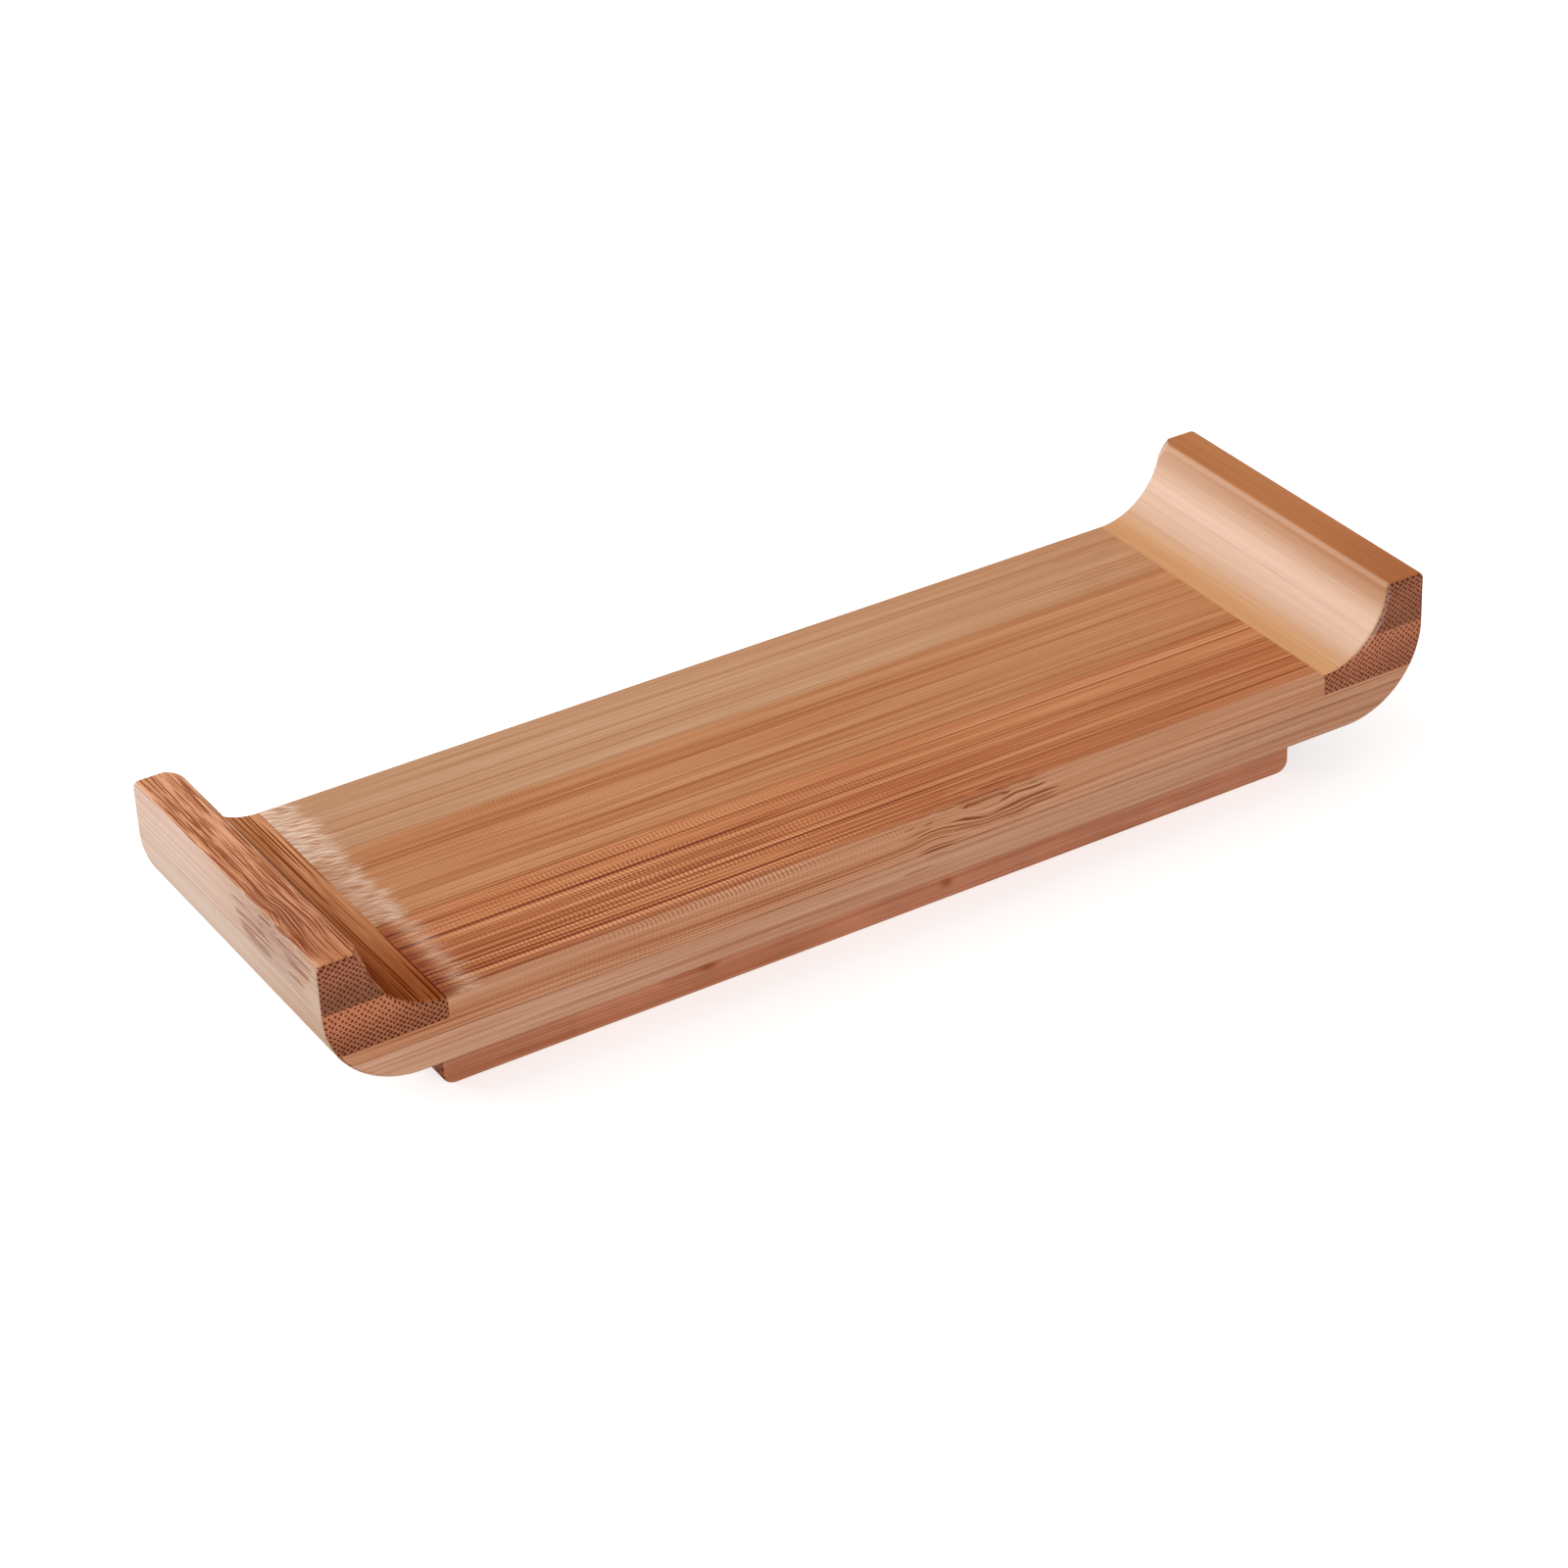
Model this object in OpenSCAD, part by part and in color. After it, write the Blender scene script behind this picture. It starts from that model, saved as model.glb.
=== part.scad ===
// Sushi geta board of carbonised bamboo, in millimetres.
// X runs along the board, the front is -Y and Z is up, with the origin under the middle of the board.
// The deck is two layers of flat strips with their fibres along X. A lip of two strips, with its fibres
// along Y, is glued into a rabbet across each end, and two runner feet are glued under the deck.

/* [Deck] */
// Length over the outer faces of the two lips
board_length = 210; // [170:1:260]
// Width over the front and back faces
board_width = 66.5; // [56:0.5:90]
// Thickness of the deck's upper layer of strips
upper_layer_thickness = 5.9; // [5:0.1:9]
// Thickness of the deck's lower layer of strips
lower_layer_thickness = 5.9; // [4:0.1:9]
// Width of the upper layer's front strip
top_front_strip_width = 24.2; // [14:0.1:26]
// Width of the upper layer's back strip
top_back_strip_width = 19.5; // [14:0.1:26]
// Width of the lower layer's front strip, unlike the one above so that the seams don't line up
bottom_front_strip_width = 19.5; // [14:0.1:26]
// Width of the lower layer's back strip
bottom_back_strip_width = 24.2; // [14:0.1:26]
// Radius of the big round under each end, through the lip and the deck
end_round_radius = 15.75; // [6:0.25:20]
// Radius that eases the long edges and the tops of the lips' ends
edge_easing = 1; // [0.4:0.1:2]

/* [Lips] */
// Length of a lip along the board, from its toe to its outer face
lip_base_length = 21; // [19:0.5:30]
// Thickness of a lip's lower strip, part of it sunk in the rabbet
lip_lower_thickness = 8.25; // [6.5:0.05:11]
// Thickness of a lip's upper strip
lip_upper_thickness = 8.7; // [6.5:0.05:11]
// Depth of the rabbet that each lip sits in, below the deck's top
rabbet_depth = 3.65; // [2:0.05:4.5]
// Radius of the cove on a lip's inner side, which meets the deck's top at the toe
cove_radius = 13; // [9:0.1:15]
// Radius of a lip's top edge on the cove side
lip_inner_edge_radius = 1.1; // [0.8:0.1:3]
// Radius of a lip's top edge on the outer side
lip_outer_edge_radius = 1.2; // [0.4:0.1:2]

/* [Runner feet] */
// Length of each runner
runner_length = 165; // [100:1:165]
// Height of each runner, from the table to the deck
runner_height = 10; // [6:0.5:16]
// Width of each runner
runner_width = 12; // [8:0.5:18]
// Distance from the deck's front or back face in to the runner
runner_setback = 7.6; // [2:0.1:12]
// Radius of the runner's lower end corners
runner_corner_radius = 2.3; // [0.5:0.1:5]

/* [Hidden] */
$fn = 96;

// How far a cutting shape runs past the faces that it cuts
overrun = 1;

// Heights above the table
deck_bottom = runner_height;
layer_seam = deck_bottom + lower_layer_thickness;
deck_top = layer_seam + upper_layer_thickness;
rabbet_floor = deck_top - rabbet_depth;
lip_seam = rabbet_floor + lip_lower_thickness;
lip_top = lip_seam + lip_upper_thickness;

// Places along the board
end_x = board_length / 2;
toe_x = end_x - lip_base_length;

// Places across the board
front_y = -board_width / 2;
back_y = board_width / 2;
top_front_seam_y = front_y + top_front_strip_width;
top_back_seam_y = back_y - top_back_strip_width;
bottom_front_seam_y = front_y + bottom_front_strip_width;
bottom_back_seam_y = back_y - bottom_back_strip_width;

// Centre of the cove, and of the round where the cove runs out into the lip's top.
// The round touches the cove's arc, or the upright face above it where the lip is taller than the cove.
cove_center = [toe_x, deck_top + cove_radius];
crown_z = lip_top - lip_inner_edge_radius;
crown_drop = cove_center.y - crown_z;
crown_reach = cove_radius + lip_inner_edge_radius;
crown_x = toe_x + (crown_drop > 0 ? sqrt(crown_reach ^ 2 - crown_drop ^ 2) : crown_reach);
crown_cut_z = max(cove_center.y, crown_z);

front_face_color = "#b37a56";
top_front_color = "#b06f49";
top_middle_color = "#b87c55";
top_back_color = "#c0916e";
lip_light_color = "#b98058";
lip_dark_color = "#a2683f";
runner_color = "#9c5d43";

// A rectangle between two corners
module box_2d(from, to) {
    translate(from)
        square(to - from);
}

// An outline in X and Z, drawn out across the board from one Y to another
module across(from_y, to_y) {
    translate([0, to_y, 0])
        rotate([90, 0, 0])
            linear_extrude(to_y - from_y)
                children();
}

// An outline in Y and Z, drawn out along the whole board
module along() {
    rotate([90, 0, 90])
        linear_extrude(board_length + 2 * overrun, center = true)
            children();
}

// What is outside a round at a corner, with the corner pointing to +X and +Y
module corner_waste(corner, radius) {
    translate(corner - [radius, radius])
        difference() {
            square(radius + overrun);
            circle(radius);
        }
}

// Side outline of the whole board above its runners, with the big rounds under its ends
module board_outline() {
    difference() {
        box_2d([-end_x, deck_bottom], [end_x, lip_top]);
        for (side = [0, 1])
            mirror([side, 0])
                translate([end_x, deck_bottom])
                    mirror([0, 1])
                        corner_waste([0, 0], end_round_radius);
    }
}

// Side outline of the right lip as one block, with its cove and its eased top
module right_lip_outline() {
    difference() {
        intersection() {
            board_outline();
            box_2d([toe_x, rabbet_floor], [end_x, lip_top]);
        }
        translate(cove_center)
            circle(cove_radius);
        difference() {
            polygon([
                [crown_x, crown_z],
                [toe_x - overrun, crown_cut_z],
                [toe_x - overrun, lip_top + cove_radius],
                [crown_x, lip_top + cove_radius]
            ]);
            translate([crown_x, crown_z])
                circle(lip_inner_edge_radius);
        }
        corner_waste([end_x, lip_top], lip_outer_edge_radius);
    }
}

// Cross section of the deck or of a lip, with all four long edges eased
module eased_section(from_z, to_z) {
    difference() {
        box_2d([front_y, from_z], [back_y, to_z]);
        for (side = [0, 1])
            mirror([side, 0]) {
                corner_waste([back_y, to_z], edge_easing);
                translate([0, from_z])
                    mirror([0, 1])
                        corner_waste([back_y, 0], edge_easing);
            }
    }
}

// One strip of the deck, between two heights and two places across the board
module deck_strip(from_z, to_z, from_y, to_y) {
    intersection() {
        across(from_y, to_y)
            difference() {
                intersection() {
                    board_outline();
                    box_2d([-end_x, from_z], [end_x, to_z]);
                }
                for (side = [0, 1])
                    mirror([side, 0])
                        box_2d([toe_x, rabbet_floor], [end_x + overrun, lip_top]);
            }
        along()
            eased_section(deck_bottom, deck_top);
    }
}

// One strip of the right lip, between two heights
module right_lip_strip(from_z, to_z) {
    intersection() {
        across(front_y, back_y)
            intersection() {
                right_lip_outline();
                box_2d([toe_x, from_z], [end_x, to_z]);
            }
        along()
            eased_section(deck_bottom, lip_top);
    }
}

// A runner that reaches back from the given Y, with its lower end corners rounded
module runner(from_y) {
    across(from_y, from_y + runner_width)
        difference() {
            box_2d([-runner_length / 2, 0], [runner_length / 2, runner_height]);
            for (side = [0, 1])
                mirror([side, 0])
                    mirror([0, 1])
                        corner_waste([runner_length / 2, 0], runner_corner_radius);
        }
}

module deck_top_strip_front() {
    color(top_front_color)
        deck_strip(layer_seam, deck_top, front_y, top_front_seam_y);
}

module deck_top_strip_middle() {
    color(top_middle_color)
        deck_strip(layer_seam, deck_top, top_front_seam_y, top_back_seam_y);
}

module deck_top_strip_back() {
    color(top_back_color)
        deck_strip(layer_seam, deck_top, top_back_seam_y, back_y);
}

module deck_bottom_strip_front() {
    color(front_face_color)
        deck_strip(deck_bottom, layer_seam, front_y, bottom_front_seam_y);
}

module deck_bottom_strip_middle() {
    color(top_middle_color)
        deck_strip(deck_bottom, layer_seam, bottom_front_seam_y, bottom_back_seam_y);
}

module deck_bottom_strip_back() {
    color(front_face_color)
        deck_strip(deck_bottom, layer_seam, bottom_back_seam_y, back_y);
}

module left_lip_lower_strip() {
    color(lip_light_color)
        mirror([1, 0, 0])
            right_lip_strip(rabbet_floor, lip_seam);
}

module left_lip_upper_strip() {
    color(lip_dark_color)
        mirror([1, 0, 0])
            right_lip_strip(lip_seam, lip_top);
}

module right_lip_lower_strip() {
    color(lip_light_color)
        right_lip_strip(rabbet_floor, lip_seam);
}

module right_lip_upper_strip() {
    color(lip_dark_color)
        right_lip_strip(lip_seam, lip_top);
}

module front_runner() {
    color(runner_color)
        runner(front_y + runner_setback);
}

module back_runner() {
    color(runner_color)
        runner(back_y - runner_setback - runner_width);
}

deck_top_strip_front();
deck_top_strip_middle();
deck_top_strip_back();
deck_bottom_strip_front();
deck_bottom_strip_middle();
deck_bottom_strip_back();
left_lip_lower_strip();
left_lip_upper_strip();
right_lip_lower_strip();
right_lip_upper_strip();
front_runner();
back_runner();
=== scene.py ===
"""Sushi geta board of carbonised bamboo: its strips, lips and runners with their grain, on a plain stage."""

import math
from dataclasses import dataclass

import bmesh
import bpy
from bpy.props import FloatProperty, FloatVectorProperty, PointerProperty
from bpy.types import Operator, Panel, PropertyGroup
from mathutils import Matrix, Vector


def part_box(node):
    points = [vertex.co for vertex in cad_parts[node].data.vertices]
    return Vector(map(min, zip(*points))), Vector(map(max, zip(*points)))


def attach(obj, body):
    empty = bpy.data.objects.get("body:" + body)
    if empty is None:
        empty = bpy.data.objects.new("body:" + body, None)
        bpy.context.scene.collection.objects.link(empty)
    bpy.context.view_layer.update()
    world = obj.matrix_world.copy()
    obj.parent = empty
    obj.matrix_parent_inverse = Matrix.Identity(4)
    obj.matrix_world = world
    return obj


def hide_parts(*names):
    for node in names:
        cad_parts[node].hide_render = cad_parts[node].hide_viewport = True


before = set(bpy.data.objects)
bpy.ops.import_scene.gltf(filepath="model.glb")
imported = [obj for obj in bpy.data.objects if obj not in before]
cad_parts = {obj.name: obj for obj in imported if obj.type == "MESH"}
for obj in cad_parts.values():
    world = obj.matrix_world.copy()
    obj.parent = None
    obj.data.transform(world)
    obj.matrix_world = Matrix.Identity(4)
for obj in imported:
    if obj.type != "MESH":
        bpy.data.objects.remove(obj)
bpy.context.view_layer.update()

bl_info = {
    "name": "Sushi geta board",
    "version": (1, 0, 0),
    "blender": (4, 5, 0),
    "location": "3D View > Sidebar > Geta board",
    "description": "Models a bamboo serving board strip by strip, with its grain, and sets up a plain stage",
    "category": "Object",
}

MM = 0.001

# Places that the frame gives, in metres
TOP_FRONT_LOW, TOP_FRONT_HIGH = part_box("deck_top_strip_front")
LIP_LOWER_LOW, LIP_LOWER_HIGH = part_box("right_lip_lower_strip")
LIP_UPPER_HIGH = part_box("right_lip_upper_strip")[1]
DECK_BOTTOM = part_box("deck_bottom_strip_front")[0].z
RUNNER_FRONT_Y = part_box("front_runner")[0].y
FRONT_Y = TOP_FRONT_LOW.y
BACK_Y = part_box("deck_top_strip_back")[1].y
LAYER_SEAM = TOP_FRONT_LOW.z
DECK_TOP = TOP_FRONT_HIGH.z
TOE_X = LIP_LOWER_LOW.x
END_X = LIP_UPPER_HIGH.x
RABBET_FLOOR = LIP_LOWER_LOW.z
LIP_SEAM = LIP_LOWER_HIGH.z
LIP_TOP = LIP_UPPER_HIGH.z

RIGHT = (1, 0, 0)
LEFT = (-1, 0, 0)
BACK = (0, 1, 0)
FRONT = (0, -1, 0)
UP = (0, 0, 1)

# How far a cutter runs past what it cuts, how near two places are the same, and a flat cut's slack
OVERRUN = 5 * MM
SAME_PLACE = 0.01 * MM
CUT_TOLERANCE = 0.001 * MM

# Flat steps in a big round
ROUND_STEPS = 28

# A place far outside the board, for glue lines and knuckles that a strip doesn't have
FAR = 1.0

# What a full step of dark grain leaves of red, green and blue: the darker it is, the redder
GRAIN_SHADE = (0.657, 0.477, 0.350)
DARKEST_GRAIN = 2.2

# Where most of a noise's values lie, and where nearly all of them do
NOISE_MOST = (0.3, 0.7)
NOISE_WIDE = (0.25, 0.75)

# A mix node's sockets for two colours and the one between them
MIX_ONE, MIX_OTHER, MIX_RESULT = 6, 7, 2

# Lamps: name, place, width and height in metres, and power in watts
LAMP_AIM = (0, 0, 0.02)
LAMPS = (
    ("back_left_lamp", (-0.52, 0.86, 0.94), 0.9, 0.8, 8.7),
    ("low_left_lamp", (-0.55, 0.67, 0.28), 0.6, 0.4, 4.0),
    ("front_lamp", (-0.15, -1.05, 0.24), 1.0, 0.4, 7.5),
)
WHITE = (1, 1, 1, 1)
FLOOR_GLOW = 0.58


def mm(*lengths):
    """Lengths in millimetres, as a tuple in metres."""
    return tuple(length * MM for length in lengths)


def a_length(name, description, millimetres):
    """A length that a user can change."""
    return FloatProperty(
        name=name, description=description, default=millimetres * MM, subtype="DISTANCE", unit="LENGTH")


def a_colour(name, description, default):
    """A colour that a user can change, in linear red, green and blue."""
    return FloatVectorProperty(
        name=name, description=description, default=default, size=3, min=0.0, max=1.0, subtype="COLOR")


class GetaSizes(PropertyGroup):
    """Sizes of the board's rounds, eased edges and sanded corners."""

    end_round: a_length("End round", "Radius of the big round under each end", 15.75)
    cove: a_length("Cove", "Radius of the cove on the inner side of each lip", 13.0)
    lip_inner_edge: a_length("Lip inner edge", "Radius of a lip's top edge on the cove side", 1.1)
    lip_outer_edge: a_length("Lip outer edge", "Radius of a lip's top edge on the outer side", 1.2)
    side_edge: a_length("Side edge", "Radius that eases the outline of the front and back faces", 1.0)
    lip_corner_length: a_length("Lip corner length", "Half length of the ovals at the lips' corners", 6.2)
    left_front_corner: a_length("Left front corner", "Half width of the left lip's front oval", 3.2)
    left_back_corner: a_length("Left back corner", "Half width of the left lip's back oval", 4.6)
    right_back_corner: a_length("Right back corner", "Half width of the right lip's back oval", 3.6)
    lip_corner_depth: a_length("Lip corner depth", "How far down a lip's sanded corners run", 4.5)
    runner_corner: a_length("Runner corner", "Radius of a runner's lower end corners", 2.3)
    runner_edge: a_length("Runner edge", "Radius that eases a runner's other edges", 0.5)


class GetaColours(PropertyGroup):
    """Colours of the bamboo, strip by strip, and of the floor."""

    deck_front: a_colour("Deck front", "Front strip of the deck's top", (0.560, 0.210, 0.082))
    deck_middle: a_colour("Deck middle", "Middle strip of the deck's top", (0.555, 0.250, 0.108))
    deck_back: a_colour("Deck back", "Back strip of the deck's top", (0.542, 0.292, 0.160))
    deck_under: a_colour("Deck under", "Lower layer of the deck", (0.438, 0.230, 0.142))
    # Painted sheen: deck_face_sheen makes the long faces paler and pinker than the tops, a painted sheen of
    # the white floor and the front light.
    deck_face_sheen: a_colour("Deck face", "Long faces of the deck's upper layer", (0.412, 0.212, 0.126))
    lip_tan: a_colour("Lip tan", "Upper strip of the left lip", (0.700, 0.335, 0.185))
    lip_dark: a_colour("Lip dark", "Lower strip of the left lip", (0.720, 0.350, 0.178))
    # Painted light: lip_toe_lit is lighter than the cove above it, so that the foot of the right cove, which
    # looks up, is painted lighter.
    lip_toe_lit: a_colour("Lip toe", "Foot of the right lip's cove", (0.665, 0.350, 0.165))
    # Painted sheen: lip_golden_sheen is the right cove's golden colour, made paler as part of a painted
    # sheen of the light from the left.
    lip_golden_sheen: a_colour("Lip golden", "Cove of the right lip", (0.510, 0.288, 0.165))
    lip_brown: a_colour("Lip brown", "Upper strip of the right lip", (0.505, 0.180, 0.056))
    runner: a_colour("Runner", "Runner feet", (0.465, 0.188, 0.103))
    # Painted sheen: faded_and_sheen makes the lips' faces that look left paler, partly as bamboo that took
    # up less browning and partly as a sheen of the bright light from the left.
    faded_and_sheen: a_colour("Faded and sheen", "Lip faces that took up little of the browning", (0.630, 0.540, 0.480))
    # Grey blotches round the left lip's knuckle, which make its outer face darker and greyer towards the
    # near end.
    blotch: a_colour("Blotch", "Grey blotches in the faded faces", (0.330, 0.220, 0.210))
    end_ground: a_colour("End ground", "Cut ends, between the bundles", (0.320, 0.118, 0.062))
    end_fibre: a_colour("End fibre", "Cut ends of the bundles", (0.105, 0.024, 0.009))
    glue: a_colour("Glue", "Glue lines between the strips", (0.160, 0.050, 0.018))
    scuff: a_colour("Scuff", "Pale fibres raised by the cove cutter", (0.830, 0.610, 0.460))
    scuff_low: a_colour("Scuff low", "Between the raised fibres", (0.500, 0.235, 0.122))
    floor: a_colour("Floor", "The plain floor", (0.900, 0.900, 0.900))


def deselect_all():
    """Leaves edit mode and deselects every object, the loaded frame's too."""
    if bpy.context.object and bpy.context.object.mode != "OBJECT":
        bpy.ops.object.mode_set(mode="OBJECT")
    bpy.ops.object.select_all(action="DESELECT")


def make_active(piece):
    """Makes a piece the only one selected."""
    deselect_all()
    piece.select_set(True)
    bpy.context.view_layer.objects.active = piece


def edit(piece):
    """Opens a piece in edit mode, choosing edges, with nothing selected."""
    make_active(piece)
    bpy.ops.object.mode_set(mode="EDIT")
    bpy.ops.mesh.select_mode(type="EDGE")
    bpy.ops.mesh.select_all(action="DESELECT")


def select_edges(piece, wanted):
    """In edit mode, selects the edges whose two ends pass a test, and no others."""
    bpy.ops.mesh.select_all(action="DESELECT")
    mesh = bmesh.from_edit_mesh(piece.data)
    for edge in mesh.edges:
        if wanted(edge.verts[0].co, edge.verts[1].co):
            edge.select_set(True)
    bmesh.update_edit_mesh(piece.data)


def same(one, other):
    """Whether two lengths are the same within the modelling tolerance."""
    return abs(one - other) < SAME_PLACE


def added(operator, name, **settings):
    """What an operator adds, under a name of its own."""
    deselect_all()
    operator(**settings)
    made = bpy.context.object
    made.name = name
    return made


def apply_scale(shape, scale):
    """Scales a new shape and moves its place, turn and scale into its mesh."""
    shape.scale = scale
    bpy.ops.object.transform_apply(location=True, rotation=True, scale=True)


def apply_modifier(piece, kind, **settings):
    """Adds a modifier to a piece, sets it and applies it."""
    make_active(piece)
    bpy.ops.object.modifier_add(type=kind)
    modifier = piece.modifiers[-1]
    for key, value in settings.items():
        setattr(modifier, key, value)
    bpy.ops.object.modifier_apply(modifier=modifier.name)


def add_box(name, low, high):
    """A box between two corners, with its place in its mesh."""
    low = Vector(low)
    high = Vector(high)
    box = added(bpy.ops.mesh.primitive_cube_add, name, size=1, location=(low + high) / 2)
    apply_scale(box, high - low)
    return box


def copy_piece(piece, name):
    """A copy of a piece with its own mesh."""
    make_active(piece)
    bpy.ops.object.duplicate(linked=False)
    made = bpy.context.object
    made.name = name
    made.data.name = name
    return made


def remove(piece):
    """Deletes a shape that was only needed while modelling."""
    make_active(piece)
    bpy.ops.object.delete()


def subtract(piece, cutter):
    """Cuts one shape out of another and deletes the cutter."""
    apply_modifier(piece, "BOOLEAN", operation="DIFFERENCE", object=cutter, solver="EXACT")
    remove(cutter)


def sweep_arc(center, angle, steps):
    """Sweeps the selected edge about a line across the board: a positive angle turns from +X to +Z."""
    bpy.ops.mesh.spin(steps=steps, angle=angle, center=(center[0], 0, center[1]), axis=BACK)


def sweep_line(dx, dz):
    """Sweeps the selected edge straight along the side outline."""
    bpy.ops.mesh.extrude_region_move(TRANSFORM_OT_translate={"value": (dx, 0, dz)})


def model_blank(sizes):
    """The whole board above its runners as one closed shape, which the strips are then cut from.

    An edge as long as the board is wide sweeps round the right half of the side outline, from the middle of
    the underside to the middle of the deck's top. The half is mirrored, closed and eased at its two sides.
    """
    quarter = math.pi / 2
    round_x = END_X - sizes.end_round
    cove_center = (TOE_X, DECK_TOP + sizes.cove)
    crown_z = LIP_TOP - sizes.lip_inner_edge
    crown_reach = sizes.cove + sizes.lip_inner_edge
    crown_tilt = math.asin((cove_center[1] - crown_z) / crown_reach)
    crown_x = TOE_X + crown_reach * math.cos(crown_tilt)
    outer_x = END_X - sizes.lip_outer_edge
    outer_z = LIP_TOP - sizes.lip_outer_edge

    middle = (round_x / 2, 0, DECK_BOTTOM)
    blank = added(bpy.ops.mesh.primitive_plane_add, "board_blank", size=1, location=middle)
    apply_scale(blank, (round_x, BACK_Y - FRONT_Y, 1))

    edit(blank)
    select_edges(blank, lambda one, other: same(one.x, round_x) and same(other.x, round_x))
    sweep_arc((round_x, DECK_BOTTOM + sizes.end_round), quarter, ROUND_STEPS)
    sweep_line(0, outer_z - DECK_BOTTOM - sizes.end_round)
    sweep_arc((outer_x, outer_z), quarter, steps=8)
    sweep_line(crown_x - outer_x, 0)
    sweep_arc((crown_x, crown_z), quarter - crown_tilt, steps=10)
    sweep_arc(cove_center, crown_tilt - quarter, ROUND_STEPS)
    sweep_line(-TOE_X, 0)
    apply_modifier(blank, "MIRROR", use_axis=(True, False, False), merge_threshold=SAME_PLACE)

    edit(blank)
    for side in (FRONT_Y, BACK_Y):
        select_edges(blank, lambda one, other: same(one.y, side) and same(other.y, side))
        bpy.ops.mesh.edge_face_add()
    bpy.ops.mesh.select_all(action="SELECT")
    bpy.ops.mesh.remove_doubles(threshold=SAME_PLACE)
    bpy.ops.mesh.normals_make_consistent(inside=False)
    select_edges(blank, lambda one, other: same(one.y, other.y))
    bpy.ops.mesh.bevel(offset=sizes.side_edge, segments=5, affect="EDGES", clamp_overlap=False)
    deselect_all()
    return blank


def cut(piece, place, outward):
    """Cuts away what lies beyond a plane and closes the cut."""
    edit(piece)
    bpy.ops.mesh.select_all(action="SELECT")
    bpy.ops.mesh.bisect(
        plane_co=place, plane_no=outward, use_fill=True, clear_outer=True, threshold=CUT_TOLERANCE)
    bpy.ops.mesh.select_all(action="SELECT")
    bpy.ops.mesh.normals_make_consistent(inside=False)
    deselect_all()


def cut_to_box(blank, node, low, high):
    """A strip cut from the blank by the sides of a box that lie inside the blank."""
    piece = copy_piece(blank, node + "_bamboo")
    blank_low = (-END_X, FRONT_Y, DECK_BOTTOM)
    blank_high = (END_X, BACK_Y, LIP_TOP)
    for axis, direction in enumerate((RIGHT, BACK, UP)):
        outward = Vector(direction)
        if low[axis] > blank_low[axis] + SAME_PLACE:
            cut(piece, low, -outward)
        if high[axis] < blank_high[axis] - SAME_PLACE:
            cut(piece, high, outward)
    return piece


def cut_lip_seats(piece):
    """Cuts the two rabbets that the lips sit in out of an upper strip of the deck."""
    for side in (-1, 1):
        ends = sorted((side * TOE_X, side * (END_X + OVERRUN)))
        seat = add_box("lip_seat", (ends[0], FRONT_Y - OVERRUN, RABBET_FLOOR),
                       (ends[1], BACK_Y + OVERRUN, LIP_TOP + OVERRUN))
        subtract(piece, seat)


def sand_corner(piece, side, end, width, sizes):
    """Rounds an inner top corner of a lip with an oval.

    The oval leans outward on its way down, so that it runs out at its foot, where it meets the cove's edge.
    """
    foot = LIP_TOP - sizes.lip_corner_depth
    cove_drop = DECK_TOP + sizes.cove - foot
    stand_out = (sizes.cove - math.sqrt(sizes.cove ** 2 - cove_drop ** 2)) / width
    run_out = 1 - (math.sqrt(2 - stand_out ** 2) - stand_out) / 2
    reach = Vector((width, sizes.lip_corner_length))
    lean = reach * run_out / sizes.lip_corner_depth
    toward = Vector((-side, math.copysign(1, end)))
    corner = Vector((side * (TOE_X + sizes.cove), end))
    middle = corner - toward * reach
    far = corner + toward * OVERRUN
    waste = add_box("corner_waste", (min(middle.x, far.x), min(middle.y, far.y), foot),
                    (max(middle.x, far.x), max(middle.y, far.y), LIP_TOP + OVERRUN))
    half_height = 2 * OVERRUN
    oval = added(bpy.ops.mesh.primitive_cylinder_add, "corner_oval", vertices=160, radius=1,
                 depth=2 * half_height, location=(middle.x, middle.y, LIP_TOP))
    apply_scale(oval, (reach.x, reach.y, 1))
    edit(oval)
    for height in (LIP_TOP - half_height, LIP_TOP + half_height):
        select_edges(oval, lambda one, other: same(one.z, height) and same(other.z, height))
        shift = toward * lean * (LIP_TOP - height)
        bpy.ops.transform.translate(value=(shift.x, shift.y, 0))
    deselect_all()
    subtract(waste, oval)
    subtract(piece, waste)


def finish_piece(piece, node, look):
    """Smooths a piece's rounds, gives it its bamboo, hangs it under the root and hides the frame's part."""
    make_active(piece)
    bpy.ops.object.shade_smooth_by_angle(angle=math.radians(30))
    apply_modifier(piece, "WEIGHTED_NORMAL", keep_sharp=True)
    piece.data.materials.clear()
    piece.data.materials.append(bamboo_material(node, look, bpy.context.scene.geta_colours))
    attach(piece, "root")
    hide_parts(node)


def solid(colour):
    """A colour property as a node socket takes it."""
    return (*colour, 1.0)


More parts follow.
